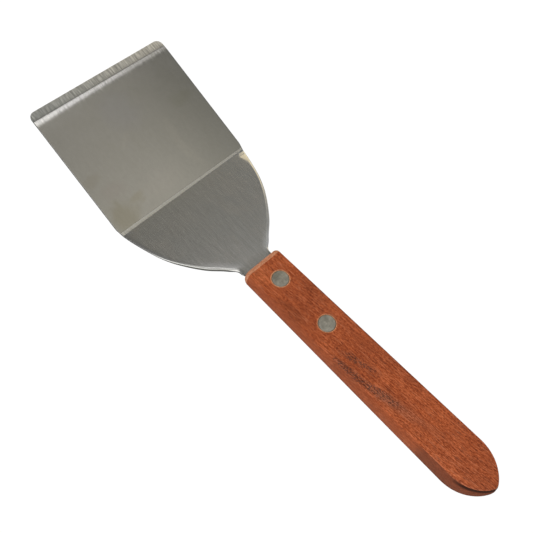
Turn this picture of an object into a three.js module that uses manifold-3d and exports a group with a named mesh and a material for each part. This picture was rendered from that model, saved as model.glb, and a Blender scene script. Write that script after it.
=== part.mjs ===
// Grill spatula (short turner): one stamped stainless sheet with a ground lip, a heel bend and a rising
// shoulder, whose hidden tang sits in a slot in a hardwood handle, held by two two-piece rivets.
//
// Millimetres, +Z up. The origin is on the underside of the flat blade, at the middle of its flat length
// and width: +X points forward to the lip, +Y to the left, and the handle rises towards -X.
import * as THREE from "three";
import { mergeVertices } from "three/addons/utils/BufferGeometryUtils.js";
import Module from "manifold-3d";

const wasm = await Module();
wasm.setup();

// ---------------------------------------------------------------- sheet dimensions
// The "reference point" is where the shoulder ends and the tang starts, on the top of the sheet.
const SHEET_T = 1.4; // sheet thickness
const BLADE_W = 75.6; // blade width at the heel
const BLADE_W_LIP = 74.0; // blade width at the lip
const FLAT_L = 62.3; // heel bend to the rear line of the ground lip

const LIP_L = 4.3; // length of the ground lip
const LIP_EDGE_T = 0.4; // thickness left at the cutting edge
const LIP_BLEND_L = 3.6; // length over which the top eases down before the lip
const LIP_BLEND_D = 0.2; // how far it has eased down at the lip's rear line
const LIP_CORNER_R = 3.0; // plan radius of the lip's corners

const HEEL_ANGLE = 20.5; // degrees the shoulder rises from the blade
const HEEL_ARC = 1.9; // length of sheet in the heel bend
const NECK_TURN = 2.34; // further degrees the sheet turns up before the handle
const NECK_BEND_AHEAD = 5; // reference point forward to the start of that bend
const NECK_ARC = 4; // length of sheet in that bend
const SHOULDER_L = 51.4; // heel to the reference point, along the sheet

const TANG_HALF = 7.1; // half width of the tang inside the handle
const TANG_L = 54.0; // tang length from the reference point
const TANG_STEP_L = 0.7; // length of the step in width from neck to tang
const TANG_END_R = 3; // plan radius of the tang's end corners
const TANG_HOLE_R = 2.75; // rivet holes in the tang

// Half widths of the sheet from SHOULDER_FROM ahead of the heel back to the neck, evenly spaced.
const SHOULDER_FROM = 3.15;
const SHOULDER_HALF = [37.8, 36.5, 34.75, 32.6, 29.45, 25.05, 19.65, 12.6, 8.2];
const NECK_SLOPE = 0.35; // side slope at the neck, as a share of the last span's slope

const EDGE_ROLL = 1.1; // greatest drop of the shoulder's turned-down edges
const EDGE_ROLL_W = 2.4; // width of sheet that takes part in the turned-down edge
const EDGE_ROLL_CURVE = 0.93; // share of a quarter circle's radius that its section spans
const ROLL_GROWS = [3, 36]; // where the drop starts and stops growing, behind the heel
const ROLL_FADES = [7, 0.5]; // where it starts and stops fading, ahead of the reference point

// ---------------------------------------------------------------- handle dimensions
const HANDLE_L = 133.0; // reference point to the faces' end at the butt
const HANDLE_FRONT = 0.95; // reference point back to the handle's front face
const HANDLE_HALF_FRONT = 9.1; // half width of the faces, taken at the reference point
const HANDLE_HALF_BUTT = 9.95; // and at HANDLE_L, before the butt's arch narrows it
const HANDLE_BULGE = 1.04; // how far the sides round out past the faces' edges
const HANDLE_H_FRONT = 10.5; // thickness, taken at the reference point
const HANDLE_H_BUTT = 13.5; // thickness at HANDLE_L
const SIDE_BAND = 0.6; // upright band at mid-thickness of the sides
const BUTT_L = 16.0; // length of the butt's arch
const BUTT_INNER_POWER = 2.2; // the arch is (1 - t^inner)^outer
const BUTT_OUTER_POWER = 0.734;
const FACE_SETBACK = 0.55; // front face to the start of the faces' outline
const FACE_CORNER_R = 1.7; // plan radius of that outline's front corners
const FRONT_BEVEL_L = 2.2; // bevel on the front edges, along the handle
const FRONT_BEVEL_H = 1.4; // and across its thickness
const SLOT_GAP = 0.15; // play between the tang and the slot, each side of the sheet
const SLOT_HALF = 7.45;
const SLOT_L = 55.5;

// ---------------------------------------------------------------- rivet dimensions
const RIVETS = [
  { label: "front_rivet", at: 13.35 }, // at = distance back from the reference point
  { label: "rear_rivet", at: 41.8 },
];
const HEAD_R = 3.88;
const HEAD_T = 1.3;
const HEAD_EDGE = 0.12; // chamfer round the head's outer face
const HEAD_PROUD = 0.03; // how far the head stands out of the wood
const SINK_EXTRA = 0.15; // depth of the wood's recess beyond the head's thickness
const RIVET_PLAY = 0.12; // between a rivet and the wood
const SOCKET_R = 2.5; // socket's hollow shank
const BORE_R = 1.7; // its bore
const BORE_MOUTH = 0.25; // chamfer at the bore's mouth
const BORE_FLOOR_T = 1.1; // head's outer face to the bore's floor
const PIN_R = 1.6; // stud's solid shank
const PIN_TIP_R = 0.3; // chamfer at its tip, across
const PIN_TIP_L = 0.4; // and along
// Each shank is this much shorter than the handle's thickness less one head.
const STUD_SHORT = 0.8;
const SOCKET_SHORT = 0.3;

// ---------------------------------------------------------------- helpers
const { clamp, degToRad } = THREE.MathUtils;

function solidOf(geometry) {
  geometry.deleteAttribute("normal");
  geometry.deleteAttribute("uv");
  const merged = mergeVertices(geometry, 1e-4);
  return new wasm.Manifold(
    new wasm.Mesh({
      numProp: 3,
      vertProperties: merged.attributes.position.array,
      triVerts: new Uint32Array(merged.index.array),
    }),
  );
}

function geometryOf(solid) {
  const mesh = solid.getMesh();
  const geometry = new THREE.BufferGeometry();
  geometry.setAttribute("position", new THREE.Float32BufferAttribute(mesh.vertProperties, 3));
  geometry.setIndex(new THREE.Uint32BufferAttribute(mesh.triVerts, 1));
  geometry.computeVertexNormals();
  return geometry;
}

function named(name, geometry, material) {
  const mesh = new THREE.Mesh(geometry, material);
  mesh.name = name;
  return mesh;
}

// Cylinder with its axis along Z.
function uprightCylinder(radius, height, segments, x, z) {
  const cylinder = new THREE.CylinderGeometry(radius, radius, height, segments);
  cylinder.rotateX(Math.PI / 2);
  cylinder.translate(x, 0, z);
  return cylinder;
}

// Monotone cubic interpolation through evenly spaced values, for u from 0 to 1.
function monotone(values, endSlopeShare) {
  const spans = values.length - 1;
  const rises = values.slice(1).map((value, i) => value - values[i]);
  const tangents = values.map((_, i) => {
    if (i === 0) return rises[0];
    if (i === spans) return rises[spans - 1] * endSlopeShare;
    const before = rises[i - 1];
    const after = rises[i];
    return before * after <= 0 ? 0 : (2 * before * after) / (before + after);
  });
  return (u) => {
    const along = clamp(u, 0, 1) * spans;
    const i = Math.min(Math.floor(along), spans - 1);
    const t = along - i;
    const startWeight = 2 * t ** 3 - 3 * t ** 2 + 1;
    return (
      startWeight * values[i] +
      (t ** 3 - 2 * t ** 2 + t) * tangents[i] +
      (1 - startWeight) * values[i + 1] +
      (t ** 3 - t ** 2) * tangents[i + 1]
    );
  };
}

// Eases from 0 at `from` to 1 at `to`.
function smooth(from, to, value) {
  const t = clamp((value - from) / (to - from), 0, 1);
  return t * t * (3 - 2 * t);
}

// Half width where a plan corner rounds it off; `into` is the distance past the corner's start.
function roundCorner(half, radius, into) {
  if (into <= 0) return half;
  return half - radius + Math.sqrt(Math.max(radius ** 2 - into ** 2, 0));
}

// ---------------------------------------------------------------- the sheet's side profile
// s runs along the top of the sheet: 0 at the heel bend, positive to the lip, negative to the tang.
const S_LIP = FLAT_L + LIP_L;
const S_END = -(SHOULDER_L + TANG_L);

// Angle at which the sheet rises rearwards.
function riseAngle(s) {
  const heel = degToRad(HEEL_ANGLE) * clamp(0.5 - s / HEEL_ARC, 0, 1);
  const intoNeck = -s - (SHOULDER_L - NECK_BEND_AHEAD);
  return heel + degToRad(NECK_TURN) * clamp(intoNeck / NECK_ARC, 0, 1);
}

// The profile is integrated once from the heel in each direction, a little past the sheet's ends.
const STEP = 0.05;
const OVERRUN = 2;
function trace(direction, length) {
  const points = [new THREE.Vector2(0, 0)];
  const step = direction * STEP;
  for (let s = 0; Math.abs(s) < length + OVERRUN; s += step) {
    const last = points[points.length - 1];
    const angle = riseAngle(s + step / 2);
    points.push(
      new THREE.Vector2(last.x + step * Math.cos(angle), last.y - step * Math.sin(angle)),
    );
  }
  return points;
}
const backward = trace(-1, -S_END);
const forward = trace(1, S_LIP);
const flatTop = forward[forward.length - 1].y;

// Point on the sheet's top, with the flat blade's top at z = 0 and the bend's middle at x = 0.
function onProfile(s) {
  const points = s < 0 ? backward : forward;
  const steps = Math.abs(s) / STEP;
  const i = Math.floor(steps);
  const point = points[i].clone().lerp(points[i + 1], steps - i);
  return { x: point.x, z: point.y - flatTop };
}

// ---------------------------------------------------------------- the sheet's outline and relief
const shoulderHalf = monotone(SHOULDER_HALF, NECK_SLOPE);

function halfWidth(s) {
  if (s < -SHOULDER_L) {
    const back = -s - SHOULDER_L;
    const neck = SHOULDER_HALF[SHOULDER_HALF.length - 1];
    const half = neck + (TANG_HALF - neck) * smooth(0, TANG_STEP_L, back);
    return roundCorner(half, TANG_END_R, back - (TANG_L - TANG_END_R));
  }
  if (s < SHOULDER_FROM) {
    return shoulderHalf((SHOULDER_FROM - s) / (SHOULDER_FROM + SHOULDER_L));
  }
  const share = (s - SHOULDER_FROM) / (S_LIP - SHOULDER_FROM);
  const half = BLADE_W / 2 + ((BLADE_W_LIP - BLADE_W) / 2) * share;
  return roundCorner(half, LIP_CORNER_R, s - (S_LIP - LIP_CORNER_R));
}

// How far the sheet's very edge is turned down at s.
function rollDepth(s) {
  const [fadeStart, fadeEnd] = ROLL_FADES.map((ahead) => SHOULDER_L - ahead);
  return EDGE_ROLL * smooth(...ROLL_GROWS, -s) * (1 - smooth(fadeStart, fadeEnd, -s));
}

// Share of that drop at a distance in from the edge: a circular arc from 1 down to 0.
function rollShare(inset) {
  const sagitta = (t) => 1 - Math.sqrt(1 - t * t);
  const t = EDGE_ROLL_CURVE * clamp(1 - inset / EDGE_ROLL_W, 0, 1);
  return sagitta(t) / sagitta(EDGE_ROLL_CURVE);
}

// How far the top is ground away towards the lip.
function lipGrind(s) {
  const into = s - FLAT_L;
  if (into > 0) {
    return LIP_BLEND_D + ((SHEET_T - LIP_EDGE_T - LIP_BLEND_D) * into) / LIP_L;
  }
  const t = 1 + into / LIP_BLEND_L;
  return t > 0 ? LIP_BLEND_D * t * t : 0;
}

// ---------------------------------------------------------------- blade
// Stations from the tang's end to the lip. Each run leaves out its last point.
function run(from, to, count) {
  return Array.from({ length: count }, (_, i) => from + ((to - from) * i) / count);
}
const TANG_END_SPANS = 8;
const LIP_CORNER_SPANS = 9;
const STATIONS = [
  ...run(0, Math.PI / 2, TANG_END_SPANS).map((t) => S_END + TANG_END_R * (1 - Math.cos(t))),
  ...run(S_END + TANG_END_R, -SHOULDER_L - TANG_STEP_L, 2),
  ...run(-SHOULDER_L - TANG_STEP_L, -SHOULDER_L, 4),
  ...run(-SHOULDER_L, -SHOULDER_L + 8, 9),
  ...run(-SHOULDER_L + 8, -HEEL_ARC / 2, 22),
  ...run(-HEEL_ARC / 2, HEEL_ARC / 2, 6),
  ...run(HEEL_ARC / 2, SHOULDER_FROM, 2),
  ...run(SHOULDER_FROM, FLAT_L - LIP_BLEND_L, 3),
  ...run(FLAT_L - LIP_BLEND_L, FLAT_L, 5),
  ...run(FLAT_L, S_LIP - LIP_CORNER_R, 2),
  ...run(0, Math.PI / 2, LIP_CORNER_SPANS).map((t) => S_LIP - LIP_CORNER_R * (1 - Math.sin(t))),
  S_LIP,
];

const EDGE_ROWS = [0, 0.3, 0.75, 1.35, EDGE_ROLL_W]; // distances in from the edge
const EDGE_SPANS = EDGE_ROWS.length - 1;
const MIDDLE_SPANS = 4; // between the innermost edge rows
const ROW_SPANS = 2 * EDGE_SPANS + MIDDLE_SPANS;

// Y of a grid row, counted from the right edge, on a sheet of this half width.
function rowY(row, half) {
  const inward = Math.min(row, ROW_SPANS - row);
  if (inward <= EDGE_SPANS) {
    return (half - EDGE_ROWS[inward]) * (row > ROW_SPANS / 2 ? 1 : -1);
  }
  return (half - EDGE_ROLL_W) * (-1 + (2 * (row - EDGE_SPANS)) / MIDDLE_SPANS);
}

// A unit box's grid, laid out along the profile.
function bladeSolid() {
  const spans = STATIONS.length - 1;
  const geometry = new THREE.BoxGeometry(1, 1, 1, spans, ROW_SPANS, 1);
  const grid = geometry.attributes.position;
  for (let i = 0; i < grid.count; i++) {
    const s = STATIONS[Math.round((grid.getX(i) + 0.5) * spans)];
    const row = Math.round((grid.getY(i) + 0.5) * ROW_SPANS);
    const isTop = grid.getZ(i) > 0;
    const half = halfWidth(s);
    const y = rowY(row, half);
    const { x, z } = onProfile(s);
    const angle = riseAngle(s);
    const roll = rollDepth(s) * rollShare(half - Math.abs(y));
    const drop = roll + (isTop ? lipGrind(s) : SHEET_T);
    grid.setXYZ(i, x - drop * Math.sin(angle), y, z - drop * Math.cos(angle));
  }
  return solidOf(geometry);
}

// The tang's rivet holes are square to the handle, so they are placed in its frame.
function bladeGeometry(reference, handleTilt) {
  let sheet = bladeSolid();
  for (const { at } of RIVETS) {
    const hole = uprightCylinder(TANG_HOLE_R, 12, 40, -at, 0);
    hole.rotateY(handleTilt);
    hole.translate(reference.x, 0, reference.z);
    sheet = sheet.subtract(solidOf(hole));
  }
  return geometryOf(sheet);
}

// ---------------------------------------------------------------- handle
// In its own frame: x = 0 at the reference point, the handle runs to -x, z = 0 on the sheet's top.
// `back` is the distance behind the reference point.
function handleHalf(back) {
  const half = HANDLE_HALF_FRONT + ((HANDLE_HALF_BUTT - HANDLE_HALF_FRONT) * back) / HANDLE_L;
  const t = clamp((back - (HANDLE_L - BUTT_L)) / BUTT_L, 0, 1);
  return half * Math.pow(1 - Math.pow(t, BUTT_INNER_POWER), BUTT_OUTER_POWER);
}

function handleHeight(back) {
  return HANDLE_H_FRONT + ((HANDLE_H_BUTT - HANDLE_H_FRONT) * back) / HANDLE_L;
}

// Plan outline of the upper and lower faces.
function handleOutline() {
  const CORNER_SPANS = 6;
  const STRAIGHT_SPANS = 4;
  const BUTT_SPANS = 22;
  const left = []; // [back, half width]
  const start = HANDLE_FRONT + FACE_SETBACK;
  for (let i = 0; i <= CORNER_SPANS; i++) {
    const t = ((i / CORNER_SPANS) * Math.PI) / 2;
    const back = start + FACE_CORNER_R * (1 - Math.cos(t));
    left.push([back, handleHalf(back) - FACE_CORNER_R * (1 - Math.sin(t))]);
  }
  const straightStart = start + FACE_CORNER_R;
  for (let i = 1; i <= STRAIGHT_SPANS; i++) {
    const back = straightStart + ((HANDLE_L - BUTT_L - straightStart) * i) / STRAIGHT_SPANS;
    left.push([back, handleHalf(back)]);
  }
  for (let i = 1; i < BUTT_SPANS; i++) {
    const back = HANDLE_L - BUTT_L * (1 - Math.sin(((i / BUTT_SPANS) * Math.PI) / 2));
    left.push([back, handleHalf(back)]);
  }
  return [
    ...left.map(([back, half]) => new THREE.Vector2(-back, half)),
    new THREE.Vector2(-HANDLE_L, 0),
    ...left.reverse().map(([back, half]) => new THREE.Vector2(-back, -half)),
  ];
}

function handleBlank() {
  const bevelThickness = (HANDLE_H_FRONT - SIDE_BAND) / 2;
  const geometry = new THREE.ExtrudeGeometry(new THREE.Shape(handleOutline()), {
    depth: SIDE_BAND,
    steps: 1,
    bevelEnabled: true,
    bevelThickness,
    bevelSize: HANDLE_BULGE,
    bevelSegments: 6,
    curveSegments: 1,
  });
  geometry.translate(0, 0, -SIDE_BAND / 2);
  // The bevel's quarter ellipse becomes a shallow arc, so that the faces meet the sides at a crisp
  // edge; then the thickness grows towards the butt.
  const vertices = geometry.attributes.position;
  for (let i = 0; i < vertices.count; i++) {
    const z = vertices.getZ(i);
    const rise = clamp((Math.abs(z) - SIDE_BAND / 2) / bevelThickness, 0, 1);
    const arc = Math.sqrt(1 - Math.sqrt(1 - rise * rise));
    const level = SIDE_BAND / 2 + bevelThickness * arc;
    const growth = handleHeight(-vertices.getX(i)) / HANDLE_H_FRONT;
    vertices.setZ(i, Math.sign(z) * level * growth);
  }
  return solidOf(geometry);
}

// Trims everything ahead of the front face.
function frontCutter() {
  const cutter = new THREE.BoxGeometry(20, 60, 60);
  cutter.translate(10 - HANDLE_FRONT, 0, 0);
  return cutter;
}

// Bevels the front face's upper edge (side = 1) or lower edge (side = -1).
function bevelCutter(side) {
  const cutter = new THREE.BoxGeometry(40, 60, 10);
  cutter.translate(0, 0, 5);
  cutter.rotateY(Math.atan2(FRONT_BEVEL_H, FRONT_BEVEL_L));
  cutter.translate(-HANDLE_FRONT, 0, handleHeight(HANDLE_FRONT) / 2 - FRONT_BEVEL_H);
  cutter.scale(1, side, side);
  return cutter;
}

// Blind slot for the tang, open at the front.
function slotCutter() {
  const ahead = 10;
  const length = SLOT_L + ahead;
  const cutter = new THREE.BoxGeometry(length, 2 * SLOT_HALF, SHEET_T + 2 * SLOT_GAP);
  cutter.translate(ahead - length / 2, 0, -SHEET_T / 2);
  return cutter;
}

// Stepped rivet hole: a through hole and a recess for each head.
function rivetCutters(at) {
  const sinkHeight = 10;
  const floor = handleHeight(at) / 2 - HEAD_T - SINK_EXTRA;
  const sinks = [1, -1].map((side) =>
    uprightCylinder(HEAD_R + RIVET_PLAY, sinkHeight, 56, -at, side * (floor + sinkHeight / 2)),
  );
  return [uprightCylinder(SOCKET_R + RIVET_PLAY, 40, 40, -at, 0), ...sinks];
}

function handleGeometry() {
  const cutters = [
    frontCutter(),
    bevelCutter(1),
    bevelCutter(-1),
    slotCutter(),
    ...RIVETS.flatMap(({ at }) => rivetCutters(at)),
  ];
  const body = cutters.reduce((solid, cutter) => solid.subtract(solidOf(cutter)), handleBlank());
  return geometryOf(body);
}

// ---------------------------------------------------------------- rivets
// Turned about Z with the head's outer face at z = 0 and the shank going down to -z.
// Shank points are [radius, z], from the axis outwards.
function rivetPart(shank) {
  const head = [
    [HEAD_R, -HEAD_T],
    [HEAD_R, -HEAD_EDGE],
    [HEAD_R - HEAD_EDGE, 0],
    [0, 0],
  ];
  const points = [...shank, ...head].map(([radius, z]) => new THREE.Vector2(radius, z));
  const geometry = new THREE.LatheGeometry(points, 56);
  geometry.rotateX(Math.PI / 2);
  return geometryOf(solidOf(geometry));
}

function stud(length) {
  return rivetPart([
    [0, -length],
    [PIN_R - PIN_TIP_R, -length],
    [PIN_R, -length + PIN_TIP_L],
    [PIN_R, -HEAD_T],
  ]);
}

function socket(length) {
  return rivetPart([
    [0, -BORE_FLOOR_T],
    [BORE_R, -BORE_FLOOR_T],
    [BORE_R, -length + BORE_MOUTH],
    [BORE_R + BORE_MOUTH, -length],
    [SOCKET_R, -length],
    [SOCKET_R, -HEAD_T],
  ]);
}

// ---------------------------------------------------------------- materials
const steel = new THREE.MeshStandardMaterial({ color: 0xa9aaa2, roughness: 0.35, metalness: 1.0 });
const rivetSteel = new THREE.MeshStandardMaterial({
  color: 0x9a9c93,
  roughness: 0.45,
  metalness: 1.0,
});
const wood = new THREE.MeshStandardMaterial({ color: 0xa05030, roughness: 0.5, metalness: 0.0 });

// ---------------------------------------------------------------- assembly
const spatula = new THREE.Group();
const placed = new THREE.Group(); // moves the heel-based profile to the blade's own origin
placed.position.set(-FLAT_L / 2, 0, SHEET_T);
spatula.add(placed);

const reference = onProfile(-SHOULDER_L);
const handleTilt = degToRad(HEEL_ANGLE + NECK_TURN);
placed.add(named("blade", bladeGeometry(reference, handleTilt), steel));

const grip = new THREE.Group();
grip.position.set(reference.x, 0, reference.z);
grip.rotation.y = handleTilt;
placed.add(grip);
grip.add(named("handle", handleGeometry(), wood));

// Studs go in from above, sockets from below.
for (const { label, at } of RIVETS) {
  const thickness = handleHeight(at);
  const headZ = thickness / 2 + HEAD_PROUD;
  const upper = named(`${label}_stud`, stud(thickness - HEAD_T - STUD_SHORT), rivetSteel);
  upper.position.set(-at, 0, headZ);
  const lower = named(`${label}_socket`, socket(thickness - HEAD_T - SOCKET_SHORT), rivetSteel);
  lower.position.set(-at, 0, -headZ);
  lower.rotation.x = Math.PI;
  grip.add(upper, lower);
}

export default spatula;
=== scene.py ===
"""A hand tool: a wide sheet-steel blade with a ground lip, riveted into a wooden handle.

+X is forward, towards the lip, +Y is left and +Z is up. The flat of the blade lies level. Behind
it, at the heel, the sheet bends up and narrows over the shoulder to the neck; from there its tang
runs back into the handle. Dimensions are in millimetres and are scaled to metres in make_object.

Two sets of coordinates are used besides x, y, z:
  along, y         the sheet laid flat; along is 0 at the heel and grows towards the lip
  reach, y, height the handle's own; reach runs from the neck to the butt, height out of its top
"""
import math

import bpy
import bmesh
import numpy as np
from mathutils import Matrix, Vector


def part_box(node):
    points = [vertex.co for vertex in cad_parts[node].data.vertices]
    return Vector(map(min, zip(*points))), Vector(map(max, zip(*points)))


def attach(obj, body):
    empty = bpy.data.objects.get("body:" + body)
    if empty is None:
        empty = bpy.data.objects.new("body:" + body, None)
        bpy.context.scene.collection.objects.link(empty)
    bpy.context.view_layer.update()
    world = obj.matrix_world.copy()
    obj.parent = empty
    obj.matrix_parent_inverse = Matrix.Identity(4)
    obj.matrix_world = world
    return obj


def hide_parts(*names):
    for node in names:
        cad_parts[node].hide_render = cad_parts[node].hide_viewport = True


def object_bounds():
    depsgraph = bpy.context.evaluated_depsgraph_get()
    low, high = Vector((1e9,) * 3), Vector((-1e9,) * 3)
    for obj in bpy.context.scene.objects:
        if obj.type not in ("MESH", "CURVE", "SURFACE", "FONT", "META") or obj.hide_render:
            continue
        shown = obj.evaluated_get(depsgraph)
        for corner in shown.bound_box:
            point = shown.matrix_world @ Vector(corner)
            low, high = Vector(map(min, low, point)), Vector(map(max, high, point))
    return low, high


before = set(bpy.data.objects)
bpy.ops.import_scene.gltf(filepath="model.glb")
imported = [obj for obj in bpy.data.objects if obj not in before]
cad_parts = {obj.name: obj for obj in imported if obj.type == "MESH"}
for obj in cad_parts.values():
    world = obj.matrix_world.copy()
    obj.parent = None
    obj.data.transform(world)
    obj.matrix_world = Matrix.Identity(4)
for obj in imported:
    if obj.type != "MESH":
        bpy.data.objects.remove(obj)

CAD_LOW, CAD_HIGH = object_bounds()
BLADE_LOW, BLADE_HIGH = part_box("blade")
MM = 0.001

# ------------------------------------------------------------------ dimensions of the blade
SHEET_THICK = 1.4
BLADE_WIDTH, BLADE_WIDTH_LIP = 75.6, 74.0
FLAT_LENGTH, LIP_LENGTH, LIP_EDGE_THICK, LIP_CORNER_RADIUS = 62.3, 4.3, 0.4, 3.0
LIP_BLEND_LENGTH, LIP_BLEND_DEPTH = 3.6, 0.2  # shallow grind in the flat, behind the lip
HEEL_ANGLE, HEEL_ARC, HEEL_SPREAD = 20.5, 1.9, 0.62
NECK_TURN, NECK_TURN_START, NECK_TURN_LENGTH = 2.34, 5, 4  # start is ahead of the neck
SHOULDER_LENGTH, TANG_LENGTH, TANG_HALF, TANG_END_RADIUS = 51.4, 54.0, 7.1, 3
NECK_STEP = 0.7  # length over which the neck changes to the tang's width
SHOULDER_FROM = 3.15
SHOULDER_END_SLOPE = 0.35  # share of the last span's slope
# half widths at even steps from SHOULDER_FROM back to the neck
SHOULDER_HALF = [BLADE_WIDTH / 2, 36.5, 34.75, 32.6, 29.45, 25.05, 19.65, 12.6, 8.2]
SHEET_FRONT = FLAT_LENGTH + LIP_LENGTH
SHEET_BACK = -(SHOULDER_LENGTH + TANG_LENGTH)

# the shoulder's turned-down edge
ROLL_LENGTH, ROLL_ANGLE, ROLL_POWER = 1.7, 58.0, 1.5  # along the sheet; degrees at its deepest
RIGHT_ROLL = 0.62  # the right edge turns down less than the left
RIGHT_ROLL_END = (45.5, 49.5)  # behind the heel, where the right edge's turn fades out
OUT_LEFT, OUT_RIGHT = 0.75, 0.35  # how far the turned edge stands outside the flat outline
OUT_FADE = 6.0  # width over which the inner sheet follows it
EASE_LENGTH, EASE_ANGLE = 4.5, 5.0  # shallow fall leading into the turned edge, beside the neck
# narrowings (positive) and swellings beside the neck: amount, along, width
PINCH_LEFT = ((0.66, -47.6, 1.9), (-0.22, -41.5, 3.5), (-0.60, -50.8, 1.0))
PINCH_RIGHT = ((0.80, -48.5, 1.9), (-0.22, -42.5, 3.2))

# the low corners beside the heel
DIP_ANGLE, DIP_SOFT, DIP_LEFT = 6.0, 0.22, 0.2  # degrees, rounding, share of it on the left
DIP_WIDTHS = [  # along, width in from the edge
    (-34, 0), (-26, 0.35), (-18, 0.6), (-12, 0.95), (-8, 1.65), (-6, 2.3),
    (-4, 3.4), (-2.6, 4.2), (-1.2, 3.6), (-0.5, 1.9), (0.2, 0),
]

# ------------------------------------------------------------------ dimensions of the handle
HANDLE_LENGTH, HANDLE_FRONT = 133.0, 0.95
HALF_FRONT, HALF_BUTT, BULGE = 9.1, 9.95, 1.38  # half widths of the face; bulge of the sides
THICK_FRONT, THICK_BUTT = 10.5, 13.5
BUTT_LENGTH, BUTT_POWER, BUTT_ROUND = 16.0, 2.2, 0.734
FRONT_CORNER_RADIUS = 2.6
BEVEL_LENGTH, BEVEL_DEPTH = 2.2, 1.4
SLOT_GAP, SLOT_HALF, SLOT_LENGTH = 0.15, 7.45, 55.5

# ------------------------------------------------------------------ dimensions of the rivets
RIVET_REACH = [13.35, 41.8]
HEAD_RADIUS, HEAD_THICK, HEAD_DOME, HEAD_EDGE_RADIUS, HEAD_PROUD = 3.88, 1.3, 0.05, 0.22, 0.03
TUBE_RADIUS, BORE_RADIUS, PIN_RADIUS, PLAY = 2.5, 1.7, 1.6, 0.12
SEAT_GAP = 0.15  # between the underside of a head and its seat in the wood
SHEET_HOLE_RADIUS = 2.75


def smoothstep(start, end, x):
    share = np.clip((np.asarray(x, float) - start) / (end - start), 0, 1)
    return share * share * (3 - 2 * share)


def shoulder_curve(share):
    """Monotone cubic through SHOULDER_HALF; share runs from 0 to 1."""
    values = np.asarray(SHOULDER_HALF, float)
    last = len(values) - 1
    rise = np.diff(values)
    slope = np.zeros(last + 1)
    slope[0], slope[-1] = rise[0], rise[-1] * SHOULDER_END_SLOPE
    for i in range(1, last):
        before, after = rise[i - 1], rise[i]
        slope[i] = 0 if before * after <= 0 else 2 * before * after / (before + after)
    x = np.clip(share, 0, 1) * last
    i = np.minimum(np.floor(x).astype(int), last - 1)
    part = x - i
    first = 2 * part**3 - 3 * part**2 + 1
    lean = (part**3 - 2 * part**2 + part) * slope[i] + (part**3 - part**2) * slope[i + 1]
    return first * values[i] + (1 - first) * values[i + 1] + lean


def corner_loss(over, radius):
    """Width lost to a round corner, at a distance past its start."""
    return radius - np.sqrt(np.maximum(radius**2 - over * over, 0))


# ------------------------------------------------------------------ the sheet's side profile
PROFILE_STEP = 0.02
PROFILE_ALONG = np.arange(SHEET_BACK - 4, SHEET_FRONT + 4, PROFILE_STEP)


def sheet_slope(along):
    heel = smoothstep(-HEEL_SPREAD, HEEL_SPREAD, -along / HEEL_ARC)
    neck = np.clip((-along - (SHOULDER_LENGTH - NECK_TURN_START)) / NECK_TURN_LENGTH, 0, 1)
    return math.radians(HEEL_ANGLE) * heel + math.radians(NECK_TURN) * neck


PROFILE_SLOPE = sheet_slope(PROFILE_ALONG)
_mid_slope = (PROFILE_SLOPE[1:] + PROFILE_SLOPE[:-1]) / 2
PROFILE_X = np.concatenate([[0], np.cumsum(PROFILE_STEP * np.cos(_mid_slope))])
PROFILE_Z = np.concatenate([[0], np.cumsum(-PROFILE_STEP * np.sin(_mid_slope))])
# The lip's front edge and the flat underside come from the CAD blade's box.
PROFILE_X += BLADE_HIGH.x / MM - np.interp(SHEET_FRONT, PROFILE_ALONG, PROFILE_X)
PROFILE_Z += BLADE_LOW.z / MM + SHEET_THICK - PROFILE_Z[-1]


def profile(along):
    """x, z and slope of the sheet's top."""
    curves = (PROFILE_X, PROFILE_Z, PROFILE_SLOPE)
    return [np.interp(along, PROFILE_ALONG, curve) for curve in curves]


_neck_x, _neck_z, _ = profile(-SHOULDER_LENGTH)
NECK = np.array([float(_neck_x), 0.0, float(_neck_z)])
TILT = math.radians(HEEL_ANGLE + NECK_TURN)
TO_BUTT = np.array([-math.cos(TILT), 0, math.sin(TILT)])
TO_LEFT = np.array([0, 1, 0])
OUT_OF_TOP = np.array([math.sin(TILT), 0, math.cos(TILT)])


def in_handle(reach, y, height):
    """Handle coordinates to x, y, z."""
    reach, y, height = (np.asarray(value, float)[..., None] for value in (reach, y, height))
    return NECK + reach * TO_BUTT + y * TO_LEFT + height * OUT_OF_TOP


def handle_coords(points):
    offset = points - NECK
    return offset @ TO_BUTT, offset[:, 1], offset @ OUT_OF_TOP


# ------------------------------------------------------------------ mesh building
def unit(vectors):
    return vectors / np.linalg.norm(vectors, axis=1)[:, None]


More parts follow.
